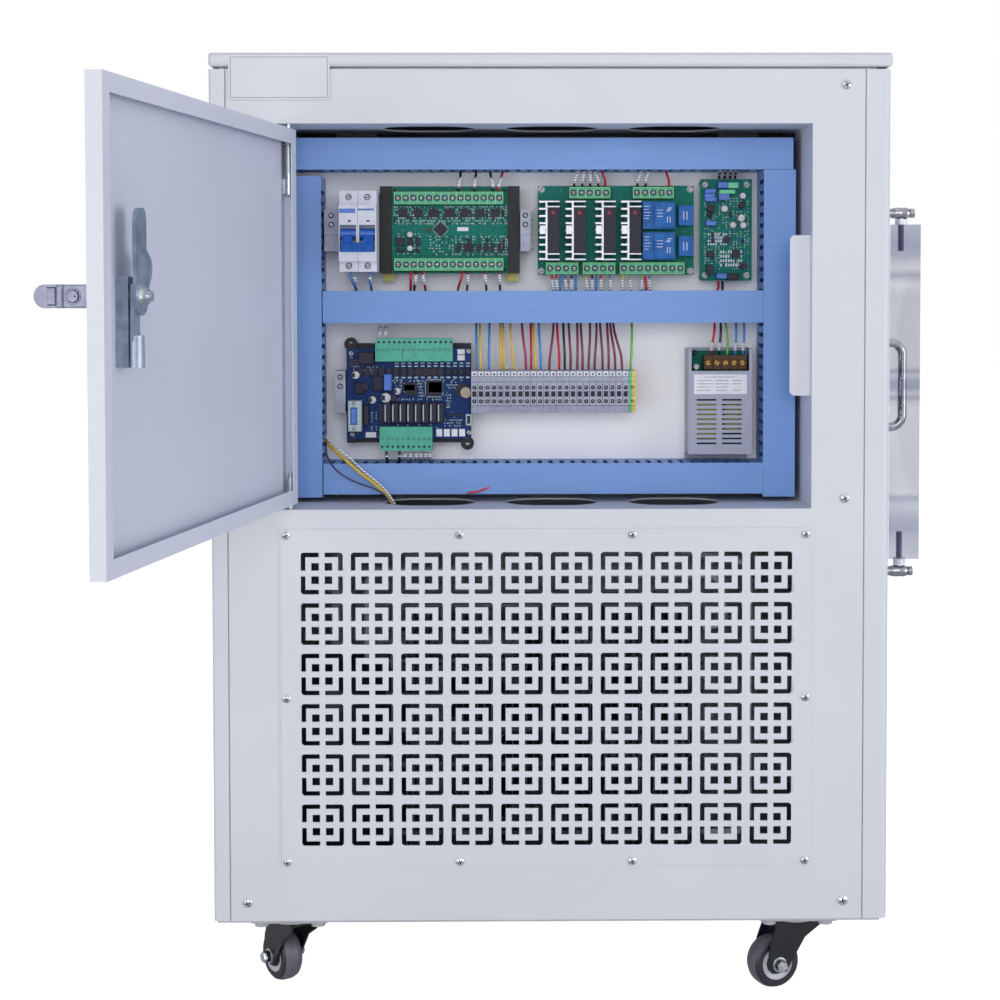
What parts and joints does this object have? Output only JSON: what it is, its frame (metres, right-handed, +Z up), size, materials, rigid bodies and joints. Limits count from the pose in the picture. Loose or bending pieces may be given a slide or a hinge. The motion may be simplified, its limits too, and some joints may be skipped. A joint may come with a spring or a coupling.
{
  "type": "freeze dryer",
  "caption": "Floor-standing vacuum freeze dryer on castors, with a clear chamber door, an open electrical compartment and a patterned condenser grille.",
  "frame": {"origin": "on the floor, under the middle of the cabinet's footprint", "axes": "+X towards the front, where the clear chamber door is; +Z up; the electrical compartment and the grille face -Y"},
  "size_m": [0.7952, 0.9772, 0.8985],
  "materials": {
    "powder_white": "fine-textured powder coat",
    "powder_grey": "smooth powder coat",
    "zinc_grey": "zinc grey paint",
    "zinc_screw": "bright zinc plate",
    "steel_pin": "zinc-plated",
    "chrome_handle": "polished chrome plate",
    "die_cast": "dark zinc die casting",
    "stainless": "brushed stainless steel",
    "fin_aluminium": "thin bare fins",
    "heatsink": "clear anodised",
    "copper": "bare copper pipe",
    "black_paint": "gloss black paint",
    "black_plastic": "moulded",
    "grey_plastic": "moulded polyamide",
    "blue_plastic": "moulded",
    "green_plastic": "moulded",
    "duct_blue": "extruded PVC",
    "green_board": "solder-masked glass epoxy",
    "blue_board": "solder-masked glass epoxy",
    "wire_black": "PVC insulation",
    "wire_red": "PVC insulation",
    "wire_blue": "PVC insulation",
    "wire_yellow": "PVC insulation",
    "wire_brown": "PVC insulation",
    "silicone": "translucent silicone",
    "acrylic": "polished clear acrylic",
    "castor_rubber": "grey rubber tread"
  },
  "bodies": {
    "cabinet": {"chassis_frame": "zinc_grey", "rear_panel": "powder_white", "front_panel": "powder_white", "service_panel": "powder_white", "far_panel": "powder_white", "top_cover": "powder_white", "panel_screws": "zinc_screw", "electrical_box": "powder_white", "mounting_plate": "powder_grey", "grille_plate": "powder_white", "wire_ducts": "duct_blue", "duct_lids": "duct_blue", "din_rails": "zinc_screw", "board_carriers": "black_plastic", "breaker_body": "grey_plastic", "io_board": "green_board", "driver_board": "green_board", "sensor_board": "green_board", "plc_board": "blue_board", "board_terminals": "green_plastic", "driver_heatsinks": "heatsink", "relays": "blue_plastic", "terminal_blocks": "grey_plastic", "power_supply_case": "zinc_screw", "power_supply_core": "green_board", "wires_black": "wire_black", "wires_red": "wire_red", "wires_blue": "wire_blue", "wires_yellow": "wire_yellow", "wires_brown": "wire_brown", "compressor": "black_paint", "condenser": "fin_aluminium", "fan_shroud": "zinc_grey", "refrigerant_pipes": "copper", "chamber_vessel": "stainless", "door_gasket": "silicone", "shelf_rack": "stainless", "vacuum_port": "stainless", "hinge_arms": "stainless", "castor_plates": "zinc_grey", "operator_screen": "black_plastic"},
    "electrical_door": {"electrical_door": "powder_white", "door_hinge_pins": "steel_pin", "latch_housing": "die_cast"},
    "latch_lever": {"latch_spindle": "steel_pin", "latch_lever": "die_cast"},
    "latch_handle": {"latch_handle": "chrome_handle"},
    "breaker_toggle": {"breaker_toggle": "blue_plastic"},
    "fan_blades": {"fan_blades": "black_plastic"},
    "chamber_door": {"chamber_door": "acrylic", "chamber_door_pins": "stainless", "pull_handle": "stainless"},
    "castor_fork_rear_near": {"castor_fork_rear_near": "black_paint"},
    "castor_wheel_rear_near": {"castor_wheel_rear_near": "castor_rubber"},
    "castor_fork_front_near": {"castor_fork_front_near": "black_paint"},
    "castor_wheel_front_near": {"castor_wheel_front_near": "castor_rubber"},
    "castor_fork_rear_far": {"castor_fork_rear_far": "black_paint"},
    "castor_wheel_rear_far": {"castor_wheel_rear_far": "castor_rubber"},
    "castor_fork_front_far": {"castor_fork_front_far": "black_paint"},
    "castor_wheel_front_far": {"castor_wheel_front_far": "castor_rubber"}
  },
  "joints": [
    {"name": "electrical_door_hinge", "type": "hinge", "parent": "cabinet", "child": "electrical_door", "pos_m": [-0.246, -0.243, 0.65], "axis": [0, 0, 1], "range_deg": [-6, 99.4]},
    {"name": "latch_lever_turn", "type": "hinge", "parent": "electrical_door", "child": "latch_lever", "pos_m": [-0.31558, -0.66328, 0.6721], "axis": [-0.9866, 0.1633, 0], "range_deg": [-90, 0]},
    {"name": "latch_handle_fold", "type": "hinge", "parent": "latch_lever", "child": "latch_handle", "pos_m": [-0.33531, -0.66001, 0.6721], "axis": [0, 0, 1], "range_deg": [0, 5]},
    {"name": "breaker_toggle_throw", "type": "hinge", "parent": "cabinet", "child": "breaker_toggle", "pos_m": [-0.184, -0.204, 0.7305], "axis": [1, 0, 0], "range_deg": [-70, 0]},
    {"name": "fan_spin", "type": "hinge", "parent": "cabinet", "child": "fan_blades", "pos_m": [-0.005, -0.15, 0.245], "axis": [0, 1, 0], "continuous": true},
    {"name": "chamber_door_hinge", "type": "hinge", "parent": "cabinet", "child": "chamber_door", "pos_m": [0.35, -0.153, 0.575], "axis": [0, 0, 1], "range_deg": [-110, 0]},
    {"name": "castor_swivel_rear_near", "type": "hinge", "parent": "cabinet", "child": "castor_fork_rear_near", "pos_m": [-0.25, -0.205, 0.05], "axis": [0, 0, 1], "continuous": true},
    {"name": "castor_roll_rear_near", "type": "hinge", "parent": "castor_fork_rear_near", "child": "castor_wheel_rear_near", "pos_m": [-0.26262, -0.18698, 0.025], "axis": [-0.8192, -0.5736, 0], "continuous": true},
    {"name": "castor_swivel_front_near", "type": "hinge", "parent": "cabinet", "child": "castor_fork_front_near", "pos_m": [0.237, -0.205, 0.05], "axis": [0, 0, 1], "continuous": true},
    {"name": "castor_roll_front_near", "type": "hinge", "parent": "castor_fork_front_near", "child": "castor_wheel_front_near", "pos_m": [0.21633, -0.21252, 0.025], "axis": [0.342, -0.9397, 0], "continuous": true},
    {"name": "castor_swivel_rear_far", "type": "hinge", "parent": "cabinet", "child": "castor_fork_rear_far", "pos_m": [-0.25, 0.205, 0.05], "axis": [0, 0, 1], "continuous": true},
    {"name": "castor_roll_rear_far", "type": "hinge", "parent": "castor_fork_rear_far", "child": "castor_wheel_rear_far", "pos_m": [-0.27125, 0.21069, 0.025], "axis": [-0.2588, -0.9659, 0], "continuous": true},
    {"name": "castor_swivel_front_far", "type": "hinge", "parent": "cabinet", "child": "castor_fork_front_far", "pos_m": [0.237, 0.205, 0.05], "axis": [0, 0, 1], "continuous": true},
    {"name": "castor_roll_front_far", "type": "hinge", "parent": "castor_fork_front_far", "child": "castor_wheel_front_far", "pos_m": [0.22286, 0.18815, 0.025], "axis": [0.766, -0.6428, 0], "continuous": true}
  ]
}
